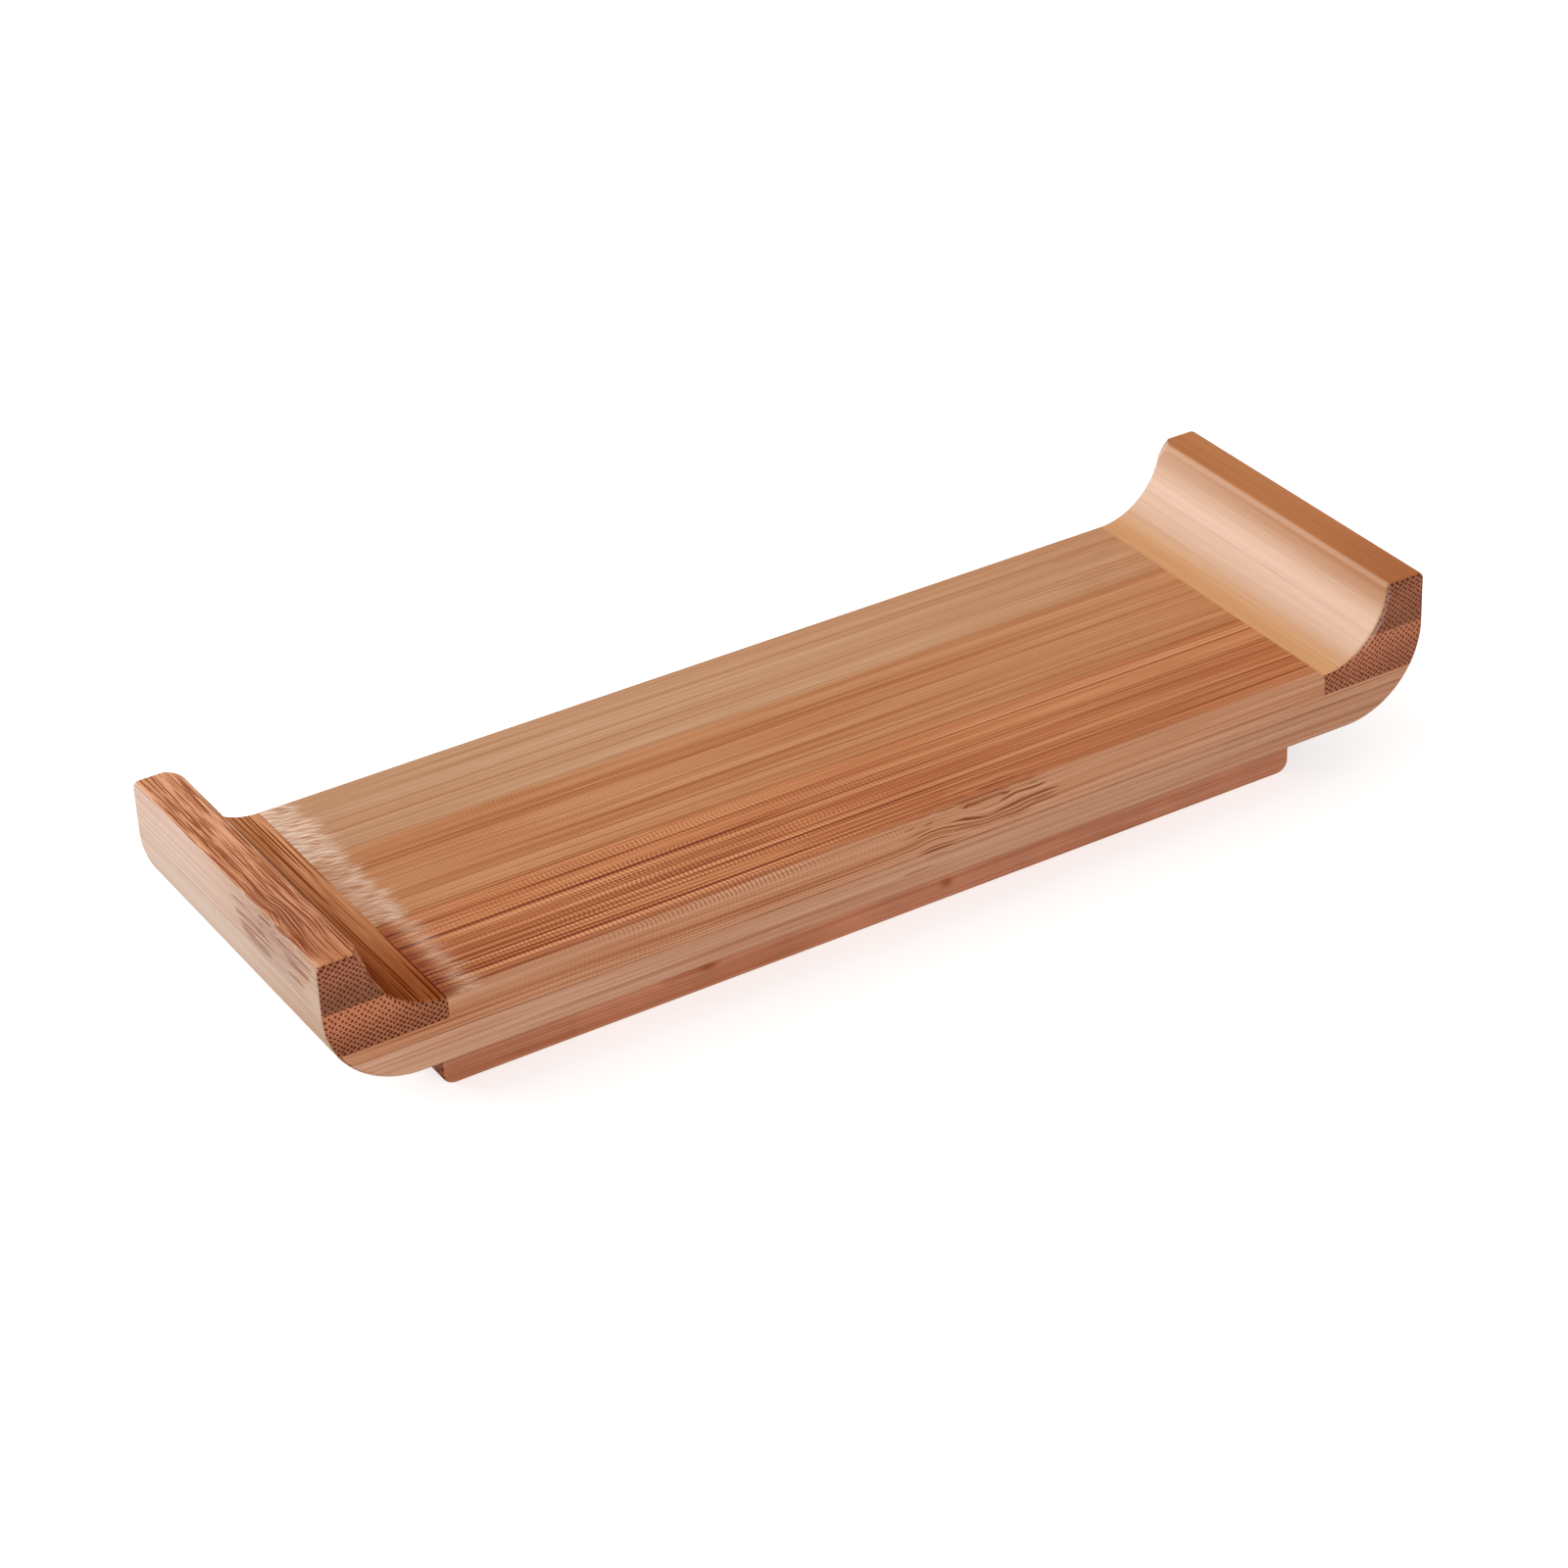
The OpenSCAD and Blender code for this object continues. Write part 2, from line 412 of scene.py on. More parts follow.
class NodeSheet:
    """Adds shader nodes to a material or a group, filling or linking their inputs as they are made."""

    def __init__(self, tree):
        self.tree = tree

    def put(self, socket, value):
        """Links a socket to another node's output, or sets it to a constant."""
        if isinstance(value, bpy.types.NodeSocket):
            self.tree.links.new(value, socket)
        else:
            socket.default_value = value

    def fill(self, node, values):
        """Fills a node's inputs in their order."""
        for socket, value in zip(node.inputs, values):
            self.put(socket, value)

    def add(self, kind, inputs=None, **settings):
        """Adds a node with its settings and its inputs by name."""
        node = self.tree.nodes.new("ShaderNode" + kind)
        for key, value in settings.items():
            setattr(node, key, value)
        for key, value in (inputs or {}).items():
            self.put(node.inputs[key], value)
        return node

    def math(self, operation, *values):
        """One step of arithmetic on numbers."""
        node = self.add("Math", operation=operation)
        self.fill(node, values)
        return node.outputs[0]

    def product(self, first, *others):
        """Numbers times each other."""
        for other in others:
            first = self.math("MULTIPLY", first, other)
        return first

    def vector(self, operation, *values):
        """One step of arithmetic on vectors or colours."""
        node = self.add("VectorMath", operation=operation)
        self.fill(node, values)
        return node.outputs["Vector"]

    def dot(self, one, other):
        """How far one vector goes along another."""
        node = self.add("VectorMath", operation="DOT_PRODUCT")
        self.fill(node, (one, other))
        return node.outputs["Value"]

    def scale(self, vector, factor):
        """A vector or colour times a number."""
        node = self.add("VectorMath", {"Vector": vector, "Scale": factor}, operation="SCALE")
        return node.outputs["Vector"]

    def parts(self, vector):
        """A vector's x, y and z."""
        return tuple(self.add("SeparateXYZ", {"Vector": vector}).outputs)

    def joined(self, x=0.0, y=0.0, z=0.0):
        """A vector from its x, y and z."""
        return self.add("CombineXYZ", {"X": x, "Y": y, "Z": z}).outputs["Vector"]

    def span(self, value, low=0.0, high=1.0, to_low=0.0, to_high=1.0):
        """Eases a number from one range into another, and holds it there."""
        node = self.add("MapRange", {"Value": value, "From Min": low, "From Max": high, "To Min": to_low,
                                     "To Max": to_high}, interpolation_type="SMOOTHSTEP")
        return node.outputs["Result"]

    def mix(self, factor, one, other):
        """A colour between two."""
        node = self.add("Mix", {"Factor": factor, MIX_ONE: one, MIX_OTHER: other}, data_type="RGBA")
        return node.outputs[MIX_RESULT]

    def colour(self, value):
        """A plain colour as a node's output."""
        node = self.add("RGB")
        node.outputs[0].default_value = solid(value)
        return node.outputs[0]

    def tinted(self, colour, amount):
        """A colour made darker and redder by a number below 0, or paler by one above it, as grain does."""
        depth = self.math("MULTIPLY", amount, -1.0)
        factor = self.add("Gamma", {"Color": solid(GRAIN_SHADE), "Gamma": depth}).outputs["Color"]
        return self.vector("MULTIPLY", colour, factor)

    def noise(self, place, along, across, detail=2.0, roughness=0.5):
        """Noise with its own numbers of ripples per metre along x and across it."""
        stretched = self.vector("MULTIPLY", place, (along, across, across))
        return self.add("TexNoise", {"Vector": stretched, "Scale": 1.0, "Detail": detail,
                                     "Roughness": roughness}).outputs

    def cells(self, x, y, scale, randomness):
        """Cells on a plane: the distance to the nearest middle, and two numbers of that cell's."""
        cell = self.add("TexVoronoi", {"Vector": self.joined(x, y), "Scale": scale,
                                       "Randomness": randomness}, voronoi_dimensions="2D").outputs
        own = self.add("SeparateColor", {"Color": cell["Color"]}).outputs
        return cell["Distance"], own["Red"], own["Green"]

    def nearness(self, place, middle, reach):
        """A mask that is 1 at a place and fades out round it, by its reach along each axis."""
        off = self.vector("DIVIDE", self.vector("SUBTRACT", place, middle), reach)
        return self.math("EXPONENT", self.math("MULTIPLY", self.dot(off, off), -1.0))


def new_group(name, vectors, numbers, outputs):
    """An empty shader node group from vectors and numbers to numbers, with its sheet and its sockets."""
    tree = bpy.data.node_groups.new(name, "ShaderNodeTree")
    for names, direction, kind in ((vectors, "INPUT", "Vector"), (numbers, "INPUT", "Float"),
                                   (outputs, "OUTPUT", "Float")):
        for socket_name in names:
            tree.interface.new_socket(socket_name, in_out=direction, socket_type="NodeSocket" + kind)
    given = tree.nodes.new("NodeGroupInput").outputs
    out = tree.nodes.new("NodeGroupOutput").inputs
    return tree, NodeSheet(tree), given, out


def cut_rods(sheet, across, outward, spacing, radius):
    """Rods along the fibres, each of its own strength and radius, which is a share of the spacing."""
    blur = 0.08
    distance, thickness, strength = sheet.cells(
        sheet.math("DIVIDE", across, spacing), sheet.math("DIVIDE", outward, spacing),
        scale=1.0, randomness=1.0)
    size = sheet.product(sheet.span(thickness, to_low=0.6, to_high=1.2), radius)
    body = sheet.span(sheet.math("SUBTRACT", size, distance), -blur, blur)
    return sheet.product(body, sheet.span(strength, to_low=0.35))


def cut_bundles(sheet, across, outward, depth, spacing):
    """The bundles in a cut across them: dots in slanting rows, bigger and closer outward."""
    blur = 0.07
    across = sheet.math("DIVIDE", across, spacing)
    crowding = sheet.math("MULTIPLY_ADD", depth, 0.22, 0.85)
    outward = sheet.product(sheet.math("DIVIDE", outward, spacing), crowding)
    distance, thickness, strength = sheet.cells(
        sheet.math("ADD", across, outward), sheet.math("SUBTRACT", across, outward),
        scale=0.7071, randomness=0.2)
    radius = sheet.math("MULTIPLY_ADD", depth, 0.08, 0.23)
    radius = sheet.math("MULTIPLY_ADD", thickness, 0.06, radius)
    dots = sheet.span(sheet.math("SUBTRACT", radius, distance), -blur, blur)
    strength = sheet.math("MULTIPLY_ADD", strength, 0.4, 0.6)
    return sheet.product(dots, strength)


def sideways(sheet, place, along, across, reach):
    """A wandering shift of up to about a quarter of the reach each way."""
    middle = (0.5, 0.5, 0.5)
    wander = sheet.noise(place, along, across, detail=1.0)["Color"]
    return sheet.scale(sheet.vector("SUBTRACT", wander, middle), reach)


def bamboo_grain_group():
    """Fibre bundles, lines and streaks of a bamboo strip, solid through it.

    The place is in metres: x along the fibres, y across the strip and z out from its pithy inner side to
    its dense outer side. The bundles are rods along x, so a cut across them shows dots and a cut along them
    lines. A knuckle bends the fibres round a place and opens short slits there.
    """
    tree, sheet, given, out = new_group(
        "Bamboo grain", ("Place", "Knuckle Place", "Knuckle Reach", "Knuckle Swirl"),
        ("Thickness", "Spacing", "Line Spacing", "Tilt"),
        ("Bundles", "Depth", "Lines", "Hairs", "Fine", "Bands", "Broad", "Knuckle", "Slits"))
    place = given["Place"]
    not_along = (0, 1, 1)

    knuckle = sheet.nearness(place, given["Knuckle Place"], given["Knuckle Reach"])
    swirl = sideways(sheet, place, along=90, across=160, reach=knuckle)
    swirl = sheet.vector("MULTIPLY", swirl, given["Knuckle Swirl"])
    wander = sheet.vector("ADD", sideways(sheet, place, along=7, across=40, reach=1.2 * MM),
                          sideways(sheet, place, along=28, across=160, reach=0.3 * MM))
    bend = sheet.vector("MULTIPLY", sheet.vector("ADD", wander, swirl), not_along)
    bent = sheet.vector("ADD", place, bend)
    x, y, z = sheet.parts(bent)
    depth = sheet.span(sheet.math("DIVIDE", z, given["Thickness"]))
    tilted = sheet.math("ADD", z, sheet.product(x, given["Tilt"]))

    broken = sheet.noise(bent, along=16, across=800, detail=1.0)["Fac"]
    broken = sheet.span(broken, 0.36, 0.58, to_low=0.35)
    lines = cut_rods(sheet, y, tilted, given["Line Spacing"], radius=0.36)
    hairs = cut_rods(sheet, y, tilted, spacing=0.42 * MM, radius=0.30)
    slits = cut_rods(sheet, y, tilted, spacing=0.58 * MM, radius=0.31)
    opening = sheet.span(sheet.noise(place, along=90, across=800, detail=0.0)["Fac"], 0.35, 0.60)
    opening = sheet.product(opening, sheet.span(knuckle, 0.1, 0.5))
    streaks = sheet.joined(x, y, tilted)

    results = {
        "Bundles": cut_bundles(sheet, y, z, depth, given["Spacing"]),
        "Depth": depth,
        "Lines": sheet.product(lines, broken),
        "Hairs": sheet.product(hairs, broken),
        "Fine": sheet.noise(streaks, along=26, across=2600, detail=3.0, roughness=0.6)["Fac"],
        "Bands": sheet.noise(streaks, along=9, across=330, detail=3.0, roughness=0.55)["Fac"],
        "Broad": sheet.noise(bent, along=7, across=80, detail=1.0)["Fac"],
        "Knuckle": knuckle,
        "Slits": sheet.span(sheet.product(slits, opening), 0.15, 0.40),
    }
    for name, value in results.items():
        sheet.put(out[name], value)
    return tree


def glue_line_group():
    """A thin broken line along the sides of a strip where it is glued to its neighbours."""
    tree, sheet, given, out = new_group("Glue line", ("Place", "Low", "High"), ("Width",), ("Line",))
    place = given["Place"]
    near = sheet.vector("MINIMUM", sheet.vector("SUBTRACT", place, given["Low"]),
                        sheet.vector("SUBTRACT", given["High"], place))
    x, y, z = sheet.parts(near)
    nearest = sheet.math("MINIMUM", sheet.math("MINIMUM", x, y), z)
    line = sheet.span(sheet.math("DIVIDE", nearest, given["Width"]), 1.0, 0.3)
    broken = sheet.noise(place, along=60, across=60, detail=3.0)["Fac"]
    broken = sheet.span(broken, 0.30, 0.62, to_low=0.25)
    sheet.put(out["Line"], sheet.product(line, broken))
    return tree


def planer_chatter_group():
    """Fine ripples across the grain that a planer leaves along part of a strip."""
    tree, sheet, given, out = new_group(
        "Planer chatter", ("Place",), ("Middle", "Reach", "Period"), ("Ripple",))
    place = given["Place"]
    uneven_turns = 13.0
    x = sheet.parts(place)[0]
    off_middle = sheet.math("DIVIDE", sheet.math("SUBTRACT", x, given["Middle"]), given["Reach"])
    mask = sheet.math("EXPONENT", sheet.product(off_middle, off_middle, -1.0))
    patches = sheet.noise(place, along=26, across=480)["Fac"]
    patches = sheet.span(patches, 0.38, 0.60, to_low=0.2)
    turns = sheet.product(sheet.math("DIVIDE", x, given["Period"]), 2 * math.pi)
    shift = sheet.product(sheet.noise(place, along=60, across=420, detail=1.0)["Fac"], uneven_turns)
    wave = sheet.math("SINE", sheet.math("ADD", turns, shift))
    sheet.put(out["Ripple"], sheet.product(mask, patches, wave))
    return tree


def scuff_and_toe_shadow_group():
    """Short ruffled fibres that the cove cutter raises on the deck beside the left toe, and a painted shadow
    of the left lip along the toe.
    """
    tree, sheet, given, out = new_group(
        "Cutter scuff and toe shadow", ("Place",), ("Toe", "Reach"), ("Band", "Strokes", "Toe Shadow"))
    place = given["Place"]
    slope = 0.25
    inward = sheet.math("SUBTRACT", sheet.parts(place)[0], given["Toe"])
    ragged = sheet.noise(place, along=60, across=1800)["Fac"]
    limit = sheet.product(given["Reach"], sheet.span(ragged, *NOISE_MOST, to_low=0.80, to_high=1.20))
    share = sheet.math("DIVIDE", inward, limit)
    ruffle = sheet.vector("MULTIPLY", sideways(sheet, place, along=240, across=420, reach=1.1 * MM), BACK)
    slant = sheet.joined(y=sheet.product(inward, slope))
    ruffled = sheet.vector("ADD", sheet.vector("ADD", place, ruffle), slant)
    strokes = sheet.noise(ruffled, along=340, across=4300, detail=0.5)["Fac"]
    sheet.put(out["Band"], sheet.span(share, 1.2, 0.65))
    sheet.put(out["Strokes"], sheet.span(strokes, 0.36, 0.57))
    # Painted shadow: darkest at the toe and gone three quarters of the way across the band.
    sheet.put(out["Toe Shadow"], sheet.span(share, 0.75, 0.0))
    return tree


def place_group(sheet, name, inputs):
    """Places a shared effect in a material, and builds its group the first time."""
    makers = {
        "Bamboo grain": bamboo_grain_group,
        "Glue line": glue_line_group,
        "Planer chatter": planer_chatter_group,
        "Cutter scuff and toe shadow": scuff_and_toe_shadow_group,
    }
    group = bpy.data.node_groups.get(name) or makers[name]()
    return sheet.add("Group", inputs, node_tree=group).outputs


@dataclass(frozen=True)
class Knuckle:
    """A place where the fibres bend, its reach, their swing along, across and outward, and its slits."""

    place: tuple = (FAR, FAR, FAR)
    reach: tuple = (1, 1, 1)
    swirl: tuple = (0, 0, 0)
    slits: float = 0.0


@dataclass
class BambooLook:
    """What is special about one strip's bamboo, apart from the colours that all of them share.

    Tone names its colour, drift one that it passes into on the right, with the share of the lines there, and
    side_tone the colour of faces that look towards side, as squarely as side_span says, and of a margin; on
    the lips and the deck's long faces it is partly a painted sheen. Dense_side is up or down, offset picks
    the strip's part of the endless grain, and tilt is the slope of its fibres. Ends shades the end grain
    from the pithy side to the dense side. Polish is the way that a burnished face looks. Lines, hairs,
    bands, streaks and slits are in steps of grain, glue and blotch are shares of their colours, and
    dark_spots_and_shade are dark places, some real spots and some painted shade: middle, reach and steps of
    grain.
    """

    tone: str
    fibre: str = "X"
    dense_side: int = 1
    offset: float = 0.0
    spacing: float = 1.2 * MM
    line_spacing: float = 0.85 * MM
    tilt: float = 0.0
    lines: float = 0.3
    hairs: float = 0.15
    bands: float = 0.08
    streaks: float = 0.12
    glue: float = 0.3
    gloss: float = 0.08
    polish: tuple = None
    side: tuple = None
    side_tone: str = None
    side_amount: float = 0.0
    side_lines: float = 0.3
    side_margin: float = 0.0
    side_span: tuple = (0.30, 0.85)
    drift: dict = None
    ends: tuple = (1.0, 1.0)
    knuckle: Knuckle = Knuckle()
    blotch: float = 0.0
    dark_spots_and_shade: tuple = ()
    chatter: dict = None
    scuff: dict = None


# In each scuff, toe_shadow is the strength of the painted shadow beside the left toe: strongest on the front
# strip, none on the back.
DECK_LOOKS = {
    "deck_top_strip_front": BambooLook(
        "deck_front", offset=0.31, lines=2.6, hairs=1.6, bands=0.3, streaks=0.3, glue=0.8, side=FRONT,
        # The front face and a margin of the top along it take deck_face_sheen, which is a painted sheen.
        side_tone="deck_face_sheen", side_amount=0.95, side_lines=0.6, side_margin=4 * MM,
        knuckle=Knuckle((14 * MM, FRONT_Y, DECK_TOP - 2.5 * MM), mm(13, 5, 5), mm(0, 0.6, 4.5), slits=2.0),
        chatter={"middle": -40 * MM, "reach": 42 * MM, "depth": 0.6}, scuff={"raised": 0.42, "toe_shadow": 1.1},
        drift={"tone": "deck_middle", "amount": 0.1, "lines": 0.6},
        # Darker at the left end of the front face.
        dark_spots_and_shade=(((-95 * MM, FRONT_Y, LAYER_SEAM), mm(22, 6, 8), 0.25),)),
    "deck_top_strip_middle": BambooLook(
        "deck_middle", offset=0.57, lines=0.8, hairs=0.5, bands=0.25, streaks=0.18, glue=0.2,
        chatter={"middle": -45 * MM, "reach": 35 * MM, "depth": 0.12}, scuff={"raised": 0.8, "toe_shadow": 0.3},
        drift={"tone": "deck_front", "amount": 0.1, "lines": 0.7},
        # A darker patch on the top, left of the middle.
        dark_spots_and_shade=(((-58 * MM, 2 * MM, DECK_TOP), mm(22, 14, 8), 0.25),)),
    "deck_top_strip_back": BambooLook(
        "deck_back", offset=0.83, lines=0.5, hairs=0.4, bands=0.15, streaks=0.15, glue=0.1, side=BACK,
        side_tone="deck_face_sheen", side_amount=0.6, side_lines=1.0,
        knuckle=Knuckle((73 * MM, 24 * MM, DECK_TOP), mm(9, 8, 4), mm(0, 3, 1), slits=0.15),
        drift={"tone": "deck_middle", "amount": 0.5, "lines": 0.8}, scuff={"raised": 0.95, "toe_shadow": 0.0}),
    "deck_bottom_strip_front": BambooLook(
        "deck_under", dense_side=-1, offset=1.09, lines=0.7, hairs=0.5, streaks=0.18, glue=0.9,
        knuckle=Knuckle((4 * MM, FRONT_Y, LAYER_SEAM - 2 * MM), mm(5, 3, 1.2), mm(0, 0, 1), slits=0.6)),
    "deck_bottom_strip_middle": BambooLook("deck_under", dense_side=-1, offset=1.35),
    "deck_bottom_strip_back": BambooLook("deck_under", dense_side=-1, offset=1.61, lines=0.7, hairs=0.4),
}

LIP = dict(fibre="Y", spacing=0.80 * MM, side=LEFT)
# The left lip's faces that look left take faded_and_sheen, which is partly a painted sheen.
LEFT_LIP = dict(LIP, side_tone="faded_and_sheen", side_amount=0.9)
# The right lip's cove takes lip_golden_sheen, which is partly a painted sheen.
RIGHT_LIP = dict(LIP, side_tone="lip_golden_sheen", side_amount=1.0, side_lines=1.0, polish=LEFT, lines=0.12,
                 hairs=0.06, bands=0.06)
LIP_LOOKS = {
    "left_lip_lower_strip": BambooLook(
        "lip_dark", dense_side=-1, offset=2.13, tilt=0.02, lines=3.6, hairs=0.8, streaks=0.3, gloss=0.0,
        ends=(1.2, 0.8), side_lines=0.08,
        # Painted shade: the left cove darker towards its near end, and a dark band along its upper part
        # beside the crest.
        dark_spots_and_shade=(((-TOE_X, FRONT_Y, DECK_TOP), mm(18, 26, 30), 1.55),
               ((-93 * MM, 0, LIP_SEAM), mm(6, 90, 4), 1.4)), **LEFT_LIP),
    "left_lip_upper_strip": BambooLook(
        "lip_tan", offset=2.39, line_spacing=0.33 * MM, tilt=0.025, lines=4.6, hairs=1.1, bands=0.2,
        streaks=0.25, gloss=0.05, side_lines=0.15, ends=(0.62, 1.0), blotch=0.8,
        knuckle=Knuckle((-END_X, -17 * MM, LIP_TOP), mm(9, 12, 8), mm(0, 3, 0.5), slits=1.5),
        # Painted shade: the left lip darker towards its near end, away from the light at the back left, and
        # a dark band on its cove side beside the crest.
        dark_spots_and_shade=(((-END_X, -24 * MM, LIP_TOP), mm(16, 26, 14), 0.45),
               (mm(-96, -10, 29), mm(4, 60, 4), 0.6)), **LEFT_LIP),
    "right_lip_lower_strip": BambooLook(
        # side_span keeps lip_toe_lit on the cove's upward-looking foot: painted light.
        "lip_toe_lit", dense_side=-1, offset=2.65, side_span=(0.1, 0.62), ends=(1.15, 0.98), **RIGHT_LIP),
    "right_lip_upper_strip": BambooLook(
        "lip_brown", offset=2.91, side_span=(0.15, 0.55), ends=(0.67, 0.86),
        # Darker towards the right lip's near end.
        dark_spots_and_shade=(((END_X, FRONT_Y, LIP_TOP), mm(12, 20, 4), 0.45),), **RIGHT_LIP),
}

RUNNER_LOOKS = {
    "front_runner": BambooLook(
        "runner", dense_side=-1, offset=3.17, lines=0.8, hairs=0.5, bands=0.25, streaks=0.2,
        knuckle=Knuckle((-36 * MM, RUNNER_FRONT_Y, 4 * MM), mm(6, 4, 2), mm(0, 0.3, 2), slits=0.7),
        # Real dark spots on the runner's front.
        dark_spots_and_shade=(((12 * MM, RUNNER_FRONT_Y, 3.2 * MM), mm(1.0, 3, 0.8), 1.2),
               ((-34 * MM, RUNNER_FRONT_Y, 4.4 * MM), mm(1.4, 3, 0.9), 1.0))),
    "back_runner": BambooLook(
        "runner", dense_side=-1, offset=3.43, lines=0.6, hairs=0.4, bands=0.15, streaks=0.2),
}


def place_grain(sheet, place, look, low, high):
    """The grain of one strip, turned to its fibres and with its dense side outward."""
    inner_z = low.z if look.dense_side > 0 else high.z
    angle = -math.pi / 2 if look.fibre == "Y" else 0.0
    turn = Matrix.Rotation(angle, 3, "Z")
    grain_place = sheet.add("Mapping", {
        "Vector": place, "Rotation": (0, 0, angle), "Scale": (1, 1, look.dense_side),
        "Location": (look.offset, look.offset, -inner_z * look.dense_side)}).outputs["Vector"]
    knuckle_place = turn @ Vector(look.knuckle.place)
    knuckle_place.z = (look.knuckle.place[2] - inner_z) * look.dense_side
    knuckle_place += Vector((look.offset, look.offset, 0))
    return place_group(sheet, "Bamboo grain", {
        "Place": grain_place, "Thickness": high.z - low.z, "Spacing": look.spacing,
        "Line Spacing": look.line_spacing, "Tilt": look.tilt, "Knuckle Place": knuckle_place,
        "Knuckle Reach": turn @ Vector(look.knuckle.reach), "Knuckle Swirl": look.knuckle.swirl})


def side_colour(sheet, place, beside, grain, look, colours, colour):
    """A strip's colour, with the other tone of its faces that look to one side, partly a painted sheen, and
    grey blotches.
    """
    least = 0.8 * look.side_amount
    if look.side_margin:
        outward = sheet.dot(place, look.side)
        margin = sheet.span(outward, BACK_Y - look.side_margin, BACK_Y, to_high=0.8)
        beside = sheet.math("MAXIMUM", beside, margin)
    uneven = sheet.span(grain["Broad"], *NOISE_MOST, to_low=least, to_high=look.side_amount)
    colour = sheet.mix(sheet.product(beside, uneven), colour, solid(getattr(colours, look.side_tone)))
    if look.blotch:
        patchy = sheet.span(grain["Bands"], 0.65, 0.40, to_low=0.4)
        blotched = sheet.product(grain["Knuckle"], patchy, look.blotch, sheet.span(beside, to_low=0.35))
        colour = sheet.mix(blotched, colour, solid(colours.blotch))
    return colour


def long_grain_colour(sheet, place, normal, grain, look, colours):
    """Colour of the faces along the fibres, with bands, lines and slits, and the depth of the dark ones."""
    colour = sheet.colour(getattr(colours, look.tone))
    broad_shade = 0.12
    drift_end = 0.6 * TOE_X
    line_strength = 1.0
    if look.drift:
        along = sheet.dot(place, RIGHT)
        drift = sheet.span(along, -TOE_X, TOE_X, to_high=look.drift["amount"])
        colour = sheet.mix(drift, colour, solid(getattr(colours, look.drift["tone"])))
    if look.side:
        beside = sheet.span(sheet.dot(normal, look.side), *look.side_span)
        line_strength = sheet.span(beside, to_low=1.0, to_high=look.side_lines)
        colour = side_colour(sheet, place, beside, grain, look, colours, colour)
    dark = sheet.math("MAXIMUM", sheet.product(grain["Lines"], look.lines),
                      sheet.product(grain["Hairs"], look.hairs))
    dark = sheet.product(dark, line_strength)
    if look.drift:
        fewer = sheet.span(along, high=drift_end, to_low=1.0, to_high=look.drift["lines"])
        dark = sheet.product(dark, fewer)
    dark = sheet.math("MAXIMUM", dark, sheet.product(grain["Slits"], look.knuckle.slits))
    dark = sheet.math("MINIMUM", dark, DARKEST_GRAIN)
    soft = sheet.math("ADD", sheet.span(grain["Fine"], *NOISE_MOST, -look.streaks, look.streaks),
                      sheet.span(grain["Bands"], *NOISE_MOST, -look.bands, look.bands))
    soft = sheet.product(soft, line_strength)
    soft = sheet.math("ADD", soft, sheet.span(grain["Broad"], *NOISE_WIDE, -broad_shade, broad_shade))
    return sheet.tinted(colour, sheet.math("SUBTRACT", soft, dark)), dark


def end_grain_colour(sheet, grain, look, colours):
    """Colour of the faces across the fibres: the cut bundles as dots."""
    broad_shade = 0.1
    dots = sheet.span(grain["Bundles"], 0.05, 0.5)
    colour = sheet.mix(dots, solid(colours.end_ground), solid(colours.end_fibre))
    shade = sheet.math("ADD", sheet.span(grain["Depth"], 0.0, 1.0, *look.ends),
                       sheet.span(grain["Broad"], *NOISE_WIDE, -broad_shade, broad_shade))
    return sheet.scale(colour, shade)


def glued_sides(low, high):
    """A strip's box with the sides that aren't glued to another strip moved far off."""
    glued_low = Vector(low)
    glued_high = Vector(high)
    for axis, (lowest, highest) in enumerate(((-END_X, END_X), (FRONT_Y, BACK_Y), (0, LIP_TOP))):
        if same(low[axis], lowest):
            glued_low[axis] = -FAR
        if same(high[axis], highest):
            glued_high[axis] = FAR
    if same(high.z, DECK_TOP):
        glued_high.z = FAR
    return glued_low, glued_high


def add_chatter(sheet, place, normal, chatter, colour, height):
    """Colour and height with a planer's ripples, which are weak on the faces that don't look up."""
    group = place_group(sheet, "Planer chatter", {
        "Place": place, "Middle": chatter["middle"], "Reach": chatter["reach"], "Period": 0.82 * MM})
    least = 0.2 * chatter["depth"]
    strength = sheet.span(sheet.dot(normal, UP), 0.2, 0.95, to_low=least, to_high=chatter["depth"])
    ripple = sheet.product(group["Ripple"], strength)
    return sheet.tinted(colour, ripple), sheet.math("ADD", height, ripple)


def add_scuff_and_toe_shadow(sheet, place, normal, scuff, colours, colour, height):
    """Colour and height with the fibres that the cove cutter raised, and the painted shadow of the left lip
    beside the toe.
    """
    group = place_group(sheet, "Cutter scuff and toe shadow", {"Place": place, "Toe": -TOE_X, "Reach": 6.2 * MM})
    upward = sheet.span(sheet.dot(normal, UP), 0.6, 0.95)
    strokes = sheet.mix(group["Strokes"], solid(colours.scuff_low), solid(colours.scuff))
    # Painted shadow of the left lip on the deck beside the toe, only on faces that look up.
    toe_shadow = sheet.product(group["Toe Shadow"], upward, scuff["toe_shadow"])
    raised = sheet.product(group["Band"], upward, scuff["raised"], sheet.math("SUBTRACT", 1.0, toe_shadow))
    colour = sheet.tinted(sheet.mix(raised, colour, strokes), sheet.product(toe_shadow, -1.0))
    return colour, sheet.math("ADD", height, sheet.product(raised, group["Strokes"]))


def empty_sheet(owner):
    """The sheet of a material or a world, cleared of nodes."""
    owner.use_nodes = True
    owner.node_tree.nodes.clear()
    return NodeSheet(owner.node_tree)


